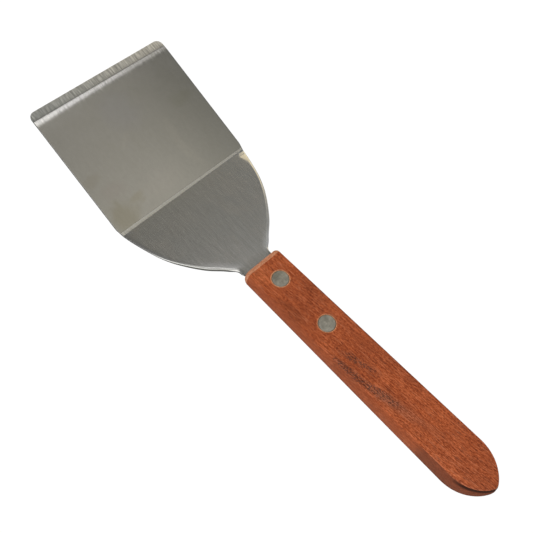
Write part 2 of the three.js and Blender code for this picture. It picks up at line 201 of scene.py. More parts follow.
class Plate:
    """A plate of quads: an inner grid on each face, joined by rings that follow the outline."""

    def __init__(self, stations, half, columns):
        between = 1 - 2 * np.arange(1, columns - 1) / (columns - 1)
        left = np.c_[stations, half]
        front = np.c_[np.full(columns - 2, stations[-1]), half[-1] * between]
        right = np.c_[stations[::-1], -half[::-1]]
        back = np.c_[np.full(columns - 2, stations[0]), -half[0] * between]
        self.loop = np.vstack([left, front, right, back])
        after = unit(np.roll(self.loop, -1, 0) - self.loop)
        before = unit(self.loop - np.roll(self.loop, 1, 0))
        tangent = unit(after + before)
        # the loop runs forward on the left side, so outward is to the left of the walk
        self.normal = np.c_[-tangent[:, 1], tangent[:, 0]]
        self.rows, self.columns = len(stations), columns

    def ring(self, out):
        return self.loop + np.asarray(out, float).reshape(-1, 1) * self.normal

    def grid(self, ring):
        """Inner points, (rows - 2) x (columns - 2), between the ring's left and right sides."""
        rows, columns = self.rows, self.columns
        left = ring[1 : rows - 1]
        right = ring[rows + columns - 2 : 2 * rows + columns - 2][::-1][1 : rows - 1]
        share = (np.arange(1, columns - 1) / (columns - 1))[None, :, None]
        return left[:, None, :] * (1 - share) + right[:, None, :] * share

    def faces(self, rings):
        """Quads for the rings, then the grid inside the first ring and that inside the last."""
        rows, columns, count = self.rows, self.columns, len(self.loop)
        inner = (rows - 2) * (columns - 2)
        quads = []
        for r in range(rings - 1):
            this, below = r * count, (r + 1) * count
            for i in range(count):
                j = (i + 1) % count
                quads.append((this + i, this + j, below + j, below + i))
        for ring, base in ((0, rings * count), (rings - 1, rings * count + inner)):
            start = ring * count
            right = start + rows + columns - 2
            index = np.zeros((rows, columns), int)
            index[:, 0] = start + np.arange(rows)
            index[-1, 1:-1] = start + rows + np.arange(columns - 2)
            index[:, -1] = (right + np.arange(rows))[::-1]
            index[0, 1:-1] = (right + rows + np.arange(columns - 2))[::-1]
            index[1:-1, 1:-1] = base + np.arange(inner).reshape(rows - 2, columns - 2)
            corners = [index[:-1, :-1], index[:-1, 1:], index[1:, 1:], index[1:, :-1]]
            cells = np.stack(corners, -1).reshape(-1, 4)
            if ring:
                cells = cells[:, ::-1]
            quads.extend(map(tuple, cells.tolist()))
        return quads


def shade_smooth(ob, sharp):
    ob.data.polygons.foreach_set("use_smooth", [True] * len(ob.data.polygons))
    if sharp:
        ob.data.set_sharp_from_angle(angle=math.radians(sharp))


def make_object(name, verts, faces, sharp):
    """Object from points in mm; edges over `sharp` degrees stay sharp, and 0 marks none."""
    mesh = bpy.data.meshes.new(name)
    mesh.from_pydata([tuple(v) for v in np.asarray(verts) * MM], [], faces)
    mesh.update()
    bm = bmesh.new()
    bm.from_mesh(mesh)
    bmesh.ops.recalc_face_normals(bm, faces=bm.faces)
    bm.to_mesh(mesh)
    bm.free()
    ob = bpy.data.objects.new(name, mesh)
    bpy.context.scene.collection.objects.link(ob)
    shade_smooth(ob, sharp)
    return ob


def cylinder(reach, radius, low, high, segments=96):
    """A closed cylinder across the handle's thickness, for cutting."""
    turn = np.arange(segments) / segments * 2 * math.pi
    forth, side = reach + radius * np.cos(turn), radius * np.sin(turn)
    rings = [in_handle(forth, side, np.full(segments, height)) for height in (low, high)]
    faces = []
    for i in range(segments):
        j = (i + 1) % segments
        faces.append((i, j, segments + j, segments + i))
    faces += [tuple(range(segments))[::-1], tuple(range(segments, 2 * segments))]
    return make_object("cutter", np.vstack(rings), faces, sharp=0)


def block(start, end, half, low, high):
    """A box in the handle's coordinates, for cutting."""
    points = [in_handle(reach, y, height)
              for reach in (start, end) for y in (-half, half) for height in (low, high)]
    faces = [(0, 1, 3, 2), (4, 6, 7, 5), (0, 4, 5, 1), (2, 3, 7, 6), (0, 2, 6, 4), (1, 5, 7, 3)]
    return make_object("cutter", np.array(points), faces, sharp=0)


def cut(ob, cutters, sharp):
    for cutter in cutters:
        mod = ob.modifiers.new("cut", "BOOLEAN")
        mod.operation, mod.solver, mod.object = "DIFFERENCE", "EXACT", cutter
        depsgraph = bpy.context.evaluated_depsgraph_get()
        result = bpy.data.meshes.new_from_object(ob.evaluated_get(depsgraph))
        ob.modifiers.clear()
        old = ob.data
        ob.data = result
        bpy.data.meshes.remove(old)
        bpy.data.objects.remove(cutter)
    shade_smooth(ob, sharp)


def attribute(ob, name, values):
    values = np.asarray(values, np.float32)
    is_vector = values.ndim == 2
    layer = ob.data.attributes.new(name, "FLOAT_VECTOR" if is_vector else "FLOAT", "POINT")
    layer.data.foreach_set("vector" if is_vector else "value", values.ravel())


def points_of(ob):
    flat = np.zeros(len(ob.data.vertices) * 3)
    ob.data.vertices.foreach_get("co", flat)
    return flat.reshape(-1, 3) / MM


# ------------------------------------------------------------------ shape of the blade
def blade_half(along):
    """Half width of the flat sheet."""
    along = np.asarray(along, float)
    back = -along - SHOULDER_LENGTH
    neck = SHOULDER_HALF[-1]
    tang = neck + (TANG_HALF - neck) * smoothstep(0, NECK_STEP, back)
    over = np.clip(back - (TANG_LENGTH - TANG_END_RADIUS), 0, TANG_END_RADIUS)
    tang = tang - corner_loss(over, TANG_END_RADIUS)
    shoulder = shoulder_curve((SHOULDER_FROM - along) / (SHOULDER_FROM + SHOULDER_LENGTH))
    taper = (along - SHOULDER_FROM) / (SHEET_FRONT - SHOULDER_FROM)
    flat = BLADE_WIDTH / 2 + (BLADE_WIDTH_LIP - BLADE_WIDTH) / 2 * taper
    over = np.clip(along - (SHEET_FRONT - LIP_CORNER_RADIUS), 0, LIP_CORNER_RADIUS)
    flat = flat - corner_loss(over, LIP_CORNER_RADIUS)
    return np.where(along < -SHOULDER_LENGTH, tang, np.where(along < SHOULDER_FROM, shoulder, flat))


def roll_share(along):
    """How much of the edge's full turn there is, from 0 to 1."""
    end = smoothstep(SHOULDER_LENGTH - 1.5, SHOULDER_LENGTH - 0.05, -along)
    return smoothstep(2.5, 34, -along) * (1 - end)


def rolled(full_turn, into):
    """Drop and lost width of the turned edge, at a share of the way into it."""
    arc = into[..., None] * np.linspace(0, 1, 15)
    turn = full_turn[..., None] * arc**ROLL_POWER
    drop = np.trapz(np.sin(turn), arc, axis=-1) * ROLL_LENGTH
    width = np.trapz(np.cos(turn), arc, axis=-1) * ROLL_LENGTH
    return drop, into * ROLL_LENGTH - width


def lip_grind(along):
    """Depth ground off the top."""
    into = along - FLAT_LENGTH
    full = SHEET_THICK - LIP_EDGE_THICK - LIP_BLEND_DEPTH
    bevel = LIP_BLEND_DEPTH + full * np.minimum(into, LIP_LENGTH) / LIP_LENGTH
    blend = np.clip(1 + into / LIP_BLEND_LENGTH, 0, 1)
    return np.where(into > 0, bevel, LIP_BLEND_DEPTH * blend * blend)


DIP_ALONG = np.arange(-40, 4, 0.05)
_window = np.hanning(19)
_dip_raw = np.interp(DIP_ALONG, *np.transpose(DIP_WIDTHS), left=0, right=0)
DIP_SMOOTHED = np.convolve(np.pad(_dip_raw, 8, mode="edge"), _window[1:-1] / _window.sum(),
                           mode="valid")


def dip(along, inset):
    """Drop of the corner beside the heel, at a distance in from the outline."""
    width = np.interp(along, DIP_ALONG, DIP_SMOOTHED, left=0, right=0)
    inside = width - inset
    run = (inside + np.sqrt(inside**2 + DIP_SOFT * DIP_SOFT)) / 2
    return math.tan(math.radians(DIP_ANGLE)) * run * np.clip(width / 0.5, 0, 1)


def pinch(along, bumps):
    return sum(amount * np.exp(-(((along - at) / width) ** 2)) for amount, at, width in bumps)


def on_sheet(flat_points, inset, lower, ease):
    """Bend points of the flat sheet into place.

    inset is the distance in from the outline, ease how far the sheared edge's rounding
    has taken the point off its face.
    """
    along, y = flat_points[..., 0], flat_points[..., 1]
    is_right, side = y < 0, np.sign(y)
    share = roll_share(along)
    share = share * np.where(is_right, 1 - smoothstep(*RIGHT_ROLL_END, -along), 1)
    full_turn = math.radians(ROLL_ANGLE) * share * np.where(is_right, RIGHT_ROLL, 1)
    into = np.clip(1 - inset / ROLL_LENGTH, 0, 1)
    turn = full_turn * into**ROLL_POWER
    drop, lost = rolled(full_turn, into)
    _, lost_all = rolled(full_turn, np.ones_like(into))
    # the shallow fall towards the edge beside the neck, and the low corner beside the heel
    lead = smoothstep(26, 40, -along)
    lead = lead * (1 - smoothstep(SHOULDER_LENGTH - 6, SHOULDER_LENGTH - 0.5, -along))
    fall = np.clip(1 - inset / EASE_LENGTH, 0, 1)
    drop = drop + lead * math.radians(EASE_ANGLE) * EASE_LENGTH * fall * fall / 2
    drop = drop + dip(along, inset) * np.where(is_right, 1, np.where(y > 0, DIP_LEFT, 1))
    # keep the outer edge on the outline: what is inside it moves out by what the bend takes up
    near = np.clip(1 - (inset - ROLL_LENGTH) / OUT_FADE, 0, 1)
    out = lost_all - lost + np.where(is_right, OUT_RIGHT, OUT_LEFT) * share
    out = out * np.where(inset > ROLL_LENGTH, near, 1)
    narrowing = np.where(is_right, pinch(along, PINCH_RIGHT), pinch(along, PINCH_LEFT))
    out = out - narrowing * near
    y = y + side * out * np.where(np.abs(y) > 0.5, 1, 0)
    x, z, slope = profile(along)
    grind = np.minimum(lip_grind(along), SHEET_THICK - 0.02)
    ease = np.minimum(ease, (SHEET_THICK - grind) * 0.42)
    if lower:
        height = -drop - SHEET_THICK * np.cos(turn) + ease * np.cos(turn)
        y = y - side * (SHEET_THICK - ease) * np.sin(turn)
    else:
        height = -drop - grind - ease * np.cos(turn)
        y = y - side * ease * np.sin(turn)
    return np.stack([x + height * np.sin(slope), y, z + height * np.cos(slope)], -1)


def blade_stations():
    parts = [SHEET_BACK + TANG_END_RADIUS * (1 - np.cos(np.linspace(0, np.pi / 2, 9)))[:-1]]
    start = SHEET_BACK + TANG_END_RADIUS
    for end, count in (  # each span's end, and its points with both ends counted
        (-SHOULDER_LENGTH - NECK_STEP, 10), (-SHOULDER_LENGTH, 7), (-SHOULDER_LENGTH + 9, 25),
        (-9, 55), (-2.6, 17), (2.2, 31), (8, 9), (FLAT_LENGTH - 5, 16), (FLAT_LENGTH, 17),
    ):
        parts.append(np.linspace(start, end, count)[:-1])
        start = end
    parts.append([FLAT_LENGTH, FLAT_LENGTH + 0.3])
    corner = np.linspace(0, np.pi / 2, 15)
    parts.append(SHEET_FRONT - LIP_CORNER_RADIUS * (1 - np.sin(corner)))
    return np.concatenate(parts)


# distances in from the outline of the rings on each face, and where they stop closing up
RING_INSETS = (5.4, 5.0, 4.6, 4.25, 3.9, 3.55, 3.2, 2.85, 2.5, 2.2, 1.9, 1.62, 1.36, 1.12,
               0.9, 0.7, 0.52)
LEAST_INSET = 0.4


def blade_rings(along):
    """(inset, ease) of the top's rings, from the inside out, and of the underside's, back in."""
    room = 1 - 0.52 * smoothstep(SHEET_FRONT - 14, SHEET_FRONT - 5, along)
    room = room - 0.55 * (1 - smoothstep(-SHOULDER_LENGTH - 1, -SHOULDER_LENGTH + 5, along))
    neck_end = smoothstep(SHOULDER_LENGTH - 1, SHOULDER_LENGTH + 2, -along)
    top_radius = 0.09 + 0.19 * smoothstep(-0.5, 8, -along) * (1 - neck_end)
    low_radius = np.full(len(along), 0.14)
    face = [(room * (inset - LEAST_INSET) + LEAST_INSET, 0 * along) for inset in RING_INSETS]

    def edge(radius):
        return [(radius * (1 - math.sin(turn)), radius * (1 - math.cos(turn)))
                for turn in np.linspace(0, np.pi / 2, 6)]

    return face + edge(top_radius), edge(low_radius)[::-1] + face[::-1]


def sheet_coords(points):
    """x, y, z back to along, y and height above the top of the sheet."""
    x, z = points[:, 0], points[:, 2]
    along = np.interp(x, PROFILE_X, PROFILE_ALONG)
    for _ in range(3):  # closes in on the foot of the perpendicular
        top_x, top_z, slope = profile(along)
        along = along + (x - top_x) * np.cos(slope) - (z - top_z) * np.sin(slope)
    top_x, top_z, slope = profile(along)
    height = (x - top_x) * np.sin(slope) + (z - top_z) * np.cos(slope)
    return along, points[:, 1], height


def build_blade():
    stations = blade_stations()
    plate = Plate(stations, blade_half(stations), columns=37)
    top, low = blade_rings(plate.loop[:, 0])
    points = []
    for lower, rings in ((False, top), (True, low)):
        for inset, ease in rings:
            points.append(on_sheet(plate.ring(-inset), inset, lower, ease))
    for lower, (inset, _) in ((False, top[0]), (True, low[-1])):
        grid = plate.grid(plate.ring(-inset))
        edge = np.maximum(blade_half(grid[..., 0]) - np.abs(grid[..., 1]), LEAST_INSET)
        points.append(on_sheet(grid, edge, lower, np.zeros(grid.shape[:2])).reshape(-1, 3))
    faces = plate.faces(len(top) + len(low))
    ob = make_object("blade_sheet", np.vstack(points), faces, sharp=32)
    holes = [cylinder(reach, SHEET_HOLE_RADIUS, -6, 6, segments=64) for reach in RIVET_REACH]
    cut(ob, holes, sharp=32)
    along, y, height = sheet_coords(points_of(ob))
    attribute(ob, "sheet", np.c_[along, y, height])
    attribute(ob, "rim", blade_half(along) - np.abs(y))
    uv = ob.data.uv_layers.new(name="brush")
    corners = np.zeros(len(ob.data.loops), int)
    ob.data.loops.foreach_get("vertex_index", corners)
    uv.data.foreach_set("uv", (np.c_[along, y][corners] / 100).ravel())
    return ob


# ------------------------------------------------------------------ shape of the handle
def handle_half(reach):
    """Half width of the face."""
    reach = np.asarray(reach, float)
    half = HALF_FRONT + (HALF_BUTT - HALF_FRONT) * reach / HANDLE_LENGTH
    into = np.clip((reach - (HANDLE_LENGTH - BUTT_LENGTH)) / BUTT_LENGTH, 0, 1)
    return half * np.maximum(1 - into**BUTT_POWER, 0) ** BUTT_ROUND


def handle_thick(reach):
    share = np.clip(reach, 0, HANDLE_LENGTH + 2) / HANDLE_LENGTH
    return THICK_FRONT + (THICK_BUTT - THICK_FRONT) * share


def handle_outline():
    """Stations along the handle and the face's half width at each."""
    nose = HANDLE_FRONT + 0.55
    radius = FRONT_CORNER_RADIUS - 0.9
    corner = nose + radius * (1 - np.cos(np.linspace(0, np.pi / 2, 10)))
    bevel = HANDLE_FRONT + BEVEL_LENGTH
    around_bevel = (bevel - 0.25, bevel - 0.1, bevel, bevel + 0.1, bevel + 0.25, bevel + 0.6)
    butt = np.sin(np.linspace(0, np.pi / 2, 46)[1:-1])
    reach = np.concatenate([
        corner,
        [station for station in around_bevel if station > corner[-1] + 0.05],
        np.linspace(nose + radius + 2.4, HANDLE_LENGTH - BUTT_LENGTH, 46),
        HANDLE_LENGTH - BUTT_LENGTH * (1 - butt),
    ])
    reach = np.unique(np.round(reach, 4))
    loss = corner_loss(nose + radius - reach, radius)
    half = handle_half(reach) - np.where(reach < nose + radius, loss, 0)
    keep = half > 0.45
    return reach[keep], half[keep]


def side_shape(top, radius):
    """(out, height) down one side, from the flat of the top face to mid-height."""

    def side(height):
        return BULGE * (1 - (height / top) ** 2)

    turn = math.pi / 2 - math.atan2(2 * BULGE, top)  # the side leans at the face's edge
    run = radius * math.tan(turn / 2)
    fillet = [(-run + radius * math.sin(turn * k), top - radius * (1 - math.cos(turn * k)))
              for k in np.linspace(0, 1, 8)]
    end_out, end_height = fillet[-1]
    step = side(end_height) - end_out  # small step between fillet and side, closed gradually
    fillet = [(out + step * (i / 7) ** 2, height) for i, (out, height) in enumerate(fillet)]
    heights = [end_height * (1 - k) for k in np.linspace(0, 1, 15)[1:]]
    return fillet + [(side(height), height) for height in heights]


FRONT_SOFT, BEVEL_SOFT, BEVEL_REACH = 0.10, 0.16, 1.2  # rounding of front face and of bevel


def on_handle(flat_points, height):
    """Flatten the front, bevel its upper and lower edges and move points into place."""
    ahead = -flat_points[..., 0] - HANDLE_FRONT
    ahead = (ahead + np.sqrt(ahead * ahead + FRONT_SOFT * FRONT_SOFT)) / 2 - FRONT_SOFT * 0.25
    limit = handle_thick(HANDLE_FRONT) / 2 - BEVEL_DEPTH + ahead * BEVEL_DEPTH / BEVEL_LENGTH
    gap = limit - np.abs(height)
    over = (gap - np.sqrt(gap * gap + BEVEL_SOFT * BEVEL_SOFT)) / 2
    over = over + BEVEL_SOFT**2 / 4 / BEVEL_REACH * np.clip(gap / BEVEL_REACH, 0, 1)
    over = np.where(gap > BEVEL_REACH, 0, over)
    height = np.sign(height) * np.minimum(np.abs(height) + over, np.abs(height))
    return in_handle(HANDLE_FRONT + ahead, flat_points[..., 1], height)


def handle_cutters():
    """The slot for the tang, then a bore and two head seats for each rivet."""
    cutters = [block(-10, SLOT_LENGTH, SLOT_HALF, -SHEET_THICK - SLOT_GAP, SLOT_GAP)]
    for reach in RIVET_REACH:
        seat = float(handle_thick(reach)) / 2 - HEAD_THICK - SEAT_GAP
        cutters.append(cylinder(reach, TUBE_RADIUS + PLAY, -20, 20, segments=64))
        cutters.append(cylinder(reach, HEAD_RADIUS + PLAY, seat, 20))
        cutters.append(cylinder(reach, HEAD_RADIUS + PLAY, -20, -seat))
    return cutters


def build_handle():
    reach, half = handle_outline()
    # a plate's stations grow forwards, so they are the reach negated
    plate = Plate(-reach[::-1], half[::-1], columns=29)
    reach = -plate.loop[:, 0]
    # radius of the face's edge: crisp at both ends, worn in the middle of the grip
    radius = 0.28 + 0.62 * smoothstep(14, 50, reach) * (1 - smoothstep(96, 116, reach))
    tops = [handle_thick(max(r, 0.0)) / 2 for r in reach]
    # indexed by loop point, ring, then out and height
    shapes = np.array([side_shape(top, edge) for top, edge in zip(tops, radius)])
    upper = [(shapes[:, k, 0], shapes[:, k, 1]) for k in range(shapes.shape[1])]
    face_out, face_height = upper[0]
    inner = face_out - 0.5
    lower = [(out, -height) for out, height in upper[-2::-1]]
    rings = [(inner, face_height)] + upper + lower + [(inner, -face_height)]
    points = [on_handle(plate.ring(out), height) for out, height in rings]
    for up in (1, -1):
        grid = plate.grid(plate.ring(inner))
        points.append(on_handle(grid, up * handle_thick(-grid[..., 0]) / 2).reshape(-1, 3))
    ob = make_object("handle_grip", np.vstack(points), plate.faces(len(rings)), sharp=40)
    cut(ob, handle_cutters(), sharp=38)
    reach, y, height = handle_coords(points_of(ob))
    attribute(ob, "grain", np.c_[reach, y, height])
    # distance in from the face's edge, or below zero down the side
    steep = (handle_half(reach + 0.05) - handle_half(reach - 0.05)) / 0.1
    inside = (handle_half(reach) - np.abs(y)) / np.sqrt(1 + steep**2)
    below = handle_thick(reach) / 2 - np.abs(height)
    attribute(ob, "crease", np.where(below > 0.02, -below, np.maximum(inside, 0)))
    mod = ob.modifiers.new("even_normals", "WEIGHTED_NORMAL")
    mod.keep_sharp, mod.weight, mod.mode = True, 60, "FACE_AREA"
    return ob


# ------------------------------------------------------------------ rivets
def lathe(name, outline, at, top, up):
    """Turned piece, from (radius, height from its outer face); up is 1 or -1."""
    segments = 112
    turn = np.arange(segments) / segments * 2 * math.pi
    rows, faces, verts = [], [], []
    for radius, depth in outline:
        height = up * (top + HEAD_PROUD + depth)
        if radius < 1e-6:
            rows.append([len(verts)])
            verts.append(in_handle(at, 0.0, height))
        else:
            rows.append(list(range(len(verts), len(verts) + segments)))
            verts.extend(in_handle(at + radius * np.cos(turn), radius * np.sin(turn),
                                   np.full(segments, height)))
    for this, following in zip(rows, rows[1:]):
        for i in range(segments):
            j = (i + 1) % segments
            if len(this) == 1:
                faces.append((this[0], following[i], following[j]))
            elif len(following) == 1:
                faces.append((this[i], following[0], this[j]))
            else:
                faces.append((this[i], following[i], following[j], this[j]))
    ob = make_object(name, np.array(verts), faces, sharp=50)
    reach, y, height = handle_coords(points_of(ob))
    attribute(ob, "grain", np.c_[reach - at, y, height])
    return ob


def head_outline():
    flat = HEAD_RADIUS - HEAD_EDGE_RADIUS
    outline = [(0.0, 0.0)]
    for radius in np.linspace(0.25, flat, 12):
        outline.append((radius, -HEAD_DOME * (radius / HEAD_RADIUS) ** 2.5))
    base = outline[-1][1]
    for turn in np.linspace(0, math.pi / 2, 8)[1:]:
        outline.append((flat + HEAD_EDGE_RADIUS * math.sin(turn),
                        base - 0.8 * HEAD_EDGE_RADIUS * (1 - math.cos(turn))))
    return outline + [(HEAD_RADIUS, -0.6), (HEAD_RADIUS, -HEAD_THICK + 0.08),
                      (HEAD_RADIUS - 0.08, -HEAD_THICK)]


def shank_root(radius):
    return [(radius + 0.15, -HEAD_THICK), (radius, -HEAD_THICK - 0.15)]


def stud_outline(thick):
    length = thick - HEAD_THICK - 0.8
    return head_outline() + shank_root(PIN_RADIUS) + [
        (PIN_RADIUS, -length + 0.4), (PIN_RADIUS - 0.3, -length), (0.0, -length),
    ]


def socket_outline(thick):
    length = thick - HEAD_THICK - 0.3
    floor = length - (thick - 2 * HEAD_THICK - 0.1)  # of the bore, below the outer face
    return head_outline() + shank_root(TUBE_RADIUS) + [
        (TUBE_RADIUS, -length + 0.1), (TUBE_RADIUS - 0.1, -length),
        (BORE_RADIUS + 0.25, -length), (BORE_RADIUS, -length + 0.25),
        (BORE_RADIUS, -floor), (0.0, -floor),
    ]


def build_rivets():
    """Studs from the top of the handle, sockets from below."""
    made = []
    for label, reach in zip(("front_rivet", "rear_rivet"), RIVET_REACH):
        thick = float(handle_thick(reach))
        for part, outline, up in (("_stud", stud_outline, 1), ("_socket", socket_outline, -1)):
            piece = lathe(label + part + "_turned", outline(thick), reach, thick / 2, up)
            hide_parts(label + part)
            made.append(piece)
    return made


# ------------------------------------------------------------------ node helpers
class Signal:
    """An output socket. Arithmetic on it adds Math nodes to its graph."""

    def __init__(self, graph, socket):
        self.graph, self.socket = graph, socket

    def __add__(self, other): return self.graph.math("ADD", self, other)
    def __radd__(self, other): return self.graph.math("ADD", other, self)
    def __sub__(self, other): return self.graph.math("SUBTRACT", self, other)
    def __rsub__(self, other): return self.graph.math("SUBTRACT", other, self)
    def __mul__(self, other): return self.graph.math("MULTIPLY", self, other)
    def __pow__(self, other): return self.graph.math("POWER", self, other)
    def __abs__(self): return self.graph.math("ABSOLUTE", self)
    def max(self, other): return self.graph.math("MAXIMUM", self, other)

    def sibling(self, output):
        """Another output of the same node."""
        return Signal(self.graph, self.socket.node.outputs[output])

    def split(self):
        x = self.graph.add("ShaderNodeSeparateXYZ", {0: self})
        return x, x.sibling(1), x.sibling(2)

    def grade(self, start, end, to=(0.0, 1.0), soft=False):
        """From to[0] at start to to[1] at end, clamped beyond them."""
        inputs = {"Value": self, "From Min": start, "From Max": end,
                  "To Min": to[0], "To Max": to[1]}
        kind = "SMOOTHSTEP" if soft else "LINEAR"
        return self.graph.add("ShaderNodeMapRange", inputs, clamp=True, interpolation_type=kind)

    def hump(self, centre, width):
        """1 at centre, falling smoothly to 0 at width either side."""
        return abs(self - centre).grade(start=0.0, end=width, to=(1.0, 0.0), soft=True)

    def ramp(self, stops):
        """Colour ramp, from (position, colour or grey)."""
        result = self.graph.add("ShaderNodeValToRGB", {"Fac": self})
        elements = result.socket.node.color_ramp.elements
        while len(elements) > 1:
            elements.remove(elements[-1])
        for i, (position, colour) in enumerate(stops):
            element = elements.new(position) if i else elements[0]
            element.position = position
            element.color = (*(colour if isinstance(colour, tuple) else (colour,) * 3), 1.0)
        return result

    def sweep(self, *stops):
        """Colour ramp whose stops are given in the signal's own unit."""
        start, end = stops[0][0], stops[-1][0]
        placed = [((stop - start) / (end - start), colour) for stop, colour in stops]
        return self.grade(start=start, end=end).ramp(placed)

    def paint(self, colour, amount):
        return self.graph.mix(amount, self, colour)

    def multiply(self, colour):
        return self.graph.mix(1.0, self, colour, "MULTIPLY")

    def tint(self, colour, amount):
        return self.paint(self.multiply(colour), amount)


class Graph:
    """A cleared node tree being filled."""

    def __init__(self, owner):
        owner.use_nodes = True
        self.tree = owner.node_tree
        self.tree.nodes.clear()

    def add(self, kind, inputs={}, output=0, **settings):
        """Add a node, fill its inputs with signals or plain values and return one output."""
        node = self.tree.nodes.new(kind)
        for name, value in settings.items():
            setattr(node, name, value)
        for key, value in inputs.items():
            socket = node.inputs[key]
            if isinstance(value, Signal):
                self.tree.links.new(value.socket, socket)
            else:
                socket.default_value = (*value, 1.0) if socket.type == "RGBA" else value
        return Signal(self, node.outputs[output])

    def finish(self, shader, kind="ShaderNodeOutputMaterial"):
        node = self.tree.nodes.new(kind)
        self.tree.links.new(shader.socket, node.inputs["Surface"])

    def math(self, operation, *values):
        return self.add("ShaderNodeMath", dict(enumerate(values)), operation=operation)

    def vector(self, *parts):
        return self.add("ShaderNodeCombineXYZ", dict(enumerate(parts)))

    def attribute(self, name, output):
        return self.add("ShaderNodeAttribute", output=output, attribute_type="GEOMETRY",
                        attribute_name=name)

    def noise(self, at, detail, rough, scale=1.0, warp=0.0):
        """3D noise; at is a vector signal or its three parts."""
        inputs = {"Vector": self.vector(*at) if isinstance(at, tuple) else at, "Scale": scale,
                  "Detail": detail, "Roughness": rough, "Lacunarity": 2.0, "Distortion": warp}
        return self.add("ShaderNodeTexNoise", inputs, output="Fac", noise_dimensions="3D")

    def mix(self, amount, first, second, blend="MIX"):
        """Mix two colours."""
        return self.add("ShaderNodeMix", {0: amount, 6: first, 7: second}, output=2,
                        data_type="RGBA", blend_type=blend)

    def mix_value(self, amount, first, second):
        return self.add("ShaderNodeMix", {0: amount, 2: first, 3: second}, data_type="FLOAT")

    def mix_shader(self, amount, first, second):
        return self.add("ShaderNodeMixShader", {0: amount, 1: first, 2: second})

    def length(self, x, y):
        return self.math("SQRT", x * x + y * y)

    def spot(self, at, centre, half, turn=0.0):
        """1 in the middle of an ellipse turned by degrees, falling smoothly to 0 at its edge."""
        cos, sin = math.cos(math.radians(turn)), math.sin(math.radians(turn))
        x, y = at[0] - centre[0], at[1] - centre[1]
        long = (x * cos + y * sin) * (1 / half[0])
        short = (y * cos - x * sin) * (1 / half[1])
        return self.length(long, short).grade(start=1.0, end=0.25, soft=True)

    def principled(self, colour, rough, relief, **others):
        """Finish the material; relief is in mm."""
        inputs = {"Strength": 1.0, "Distance": MM, "Height": relief}
        normal = self.add("ShaderNodeBump", inputs)
        inputs = {"Base Color": colour, "Roughness": rough, "Normal": normal, **others}
        self.finish(self.add("ShaderNodeBsdfPrincipled", inputs))


def new_material(name):
    material = bpy.data.materials.new(name)
    return material, Graph(material)


# ------------------------------------------------------------------ steel of the blade
# noise over the sheet: scale along, scale across, layer, detail, roughness, warp
BLADE_NOISE = (
    (0.02, 0.55, 4.0, 3.0, 0.6, 0.0),  # long brushing
    (0.12, 1.25, 9.0, 3.0, 0.7, 0.0),  # scratches
    (0.16, 1.8, 31.0, 2.0, 0.6, 0.0),  # grinding lines of the lip
    (0.030, 0.040, 2.0, 2.0, 0.5, 0.5),  # cloud
    (0.085, 0.10, 7.0, 3.0, 0.55, 1.0),  # smudge
    (0.055, 0.05, 17.0, 2.0, 0.5, 1.6),  # haze
    (0.42, 0.55, 41.0, 3.0, 0.65, 0.4),  # scuff
)
# tints and smears on the flat: centre (along, y), half sizes, turn in degrees, tint, amount
FLAT_SPOTS = (
    ((6.0, 31.0), (10.5, 9.5), 0.0, (0.87, 0.84, 0.75), 0.85),
    ((9.5, 20.5), (3.4, 5.5), 20.0, (0.90, 0.87, 0.77), 0.60),
    ((18.0, 27.0), (6.0, 8.5), -10.0, (0.975, 0.94, 0.94), 0.65),
    ((27.0, 33.0), (4.0, 6.5), 0.0, (0.92, 0.89, 0.84), 0.55),
    ((37.0, -28.0), (4.5, 10.0), 8.0, (0.93, 0.93, 0.88), 0.65),
    ((18.0, -13.2), (22.0, 5.0), 4.0, (1.09, 1.08, 1.065), 0.55),
    ((34.5, 8.0), (7.0, 1.8), -52.0, (1.05, 1.04, 1.03), 0.65),
    ((9.0, 6.0), (10.0, 15.0), 0.0, (1.04, 1.03, 1.03), 0.80),
    ((47.0, 2.0), (14.0, 13.0), 0.0, (0.995, 0.998, 1.045), 0.85),
)
SPOT_WANDER = 9.0  # mm by which noise moves the spots' edges


def flat_colour(graph, along, y, cloud, smudge, haze, flat):
    base = graph.mix(cloud.grade(start=0.3, end=0.7), (0.590, 0.577, 0.532), (0.615, 0.602, 0.566))
    at = along + (smudge - 0.5) * SPOT_WANDER, y + (haze - 0.5) * SPOT_WANDER
    for centre, half, turn, tint, amount in FLAT_SPOTS:
        spot = graph.spot(at, centre, half, turn) * amount * flat
        base = base.multiply(graph.mix(spot, (1, 1, 1), tint))
    return base


def lip_tone(along, lip, scratches, ground):
    """Brightness of the lip's grinding lines, and of the painted shade line and painted shade at
    its start.
    """
    line = (scratches - 0.5) * 0.04 + (ground - 0.5) * 2.0
    line = 1.0 + line * lip
    line = line + (ground - 0.5) * along.hump(centre=FLAT_LENGTH - 1.6, width=3.0) * 1.2
    # painted shade: darker towards the rear edge of the lip
    near = along.grade(start=FLAT_LENGTH + 2.2, end=FLAT_LENGTH, soft=True)
    shade = 1.0 - near * lip * 0.20
    # painted shade: a dark line along the lip's rear edge
    painted_shade_line = 1.0 - along.hump(centre=FLAT_LENGTH + 0.15, width=0.50) * 0.25
    return line, painted_shade_line * shade


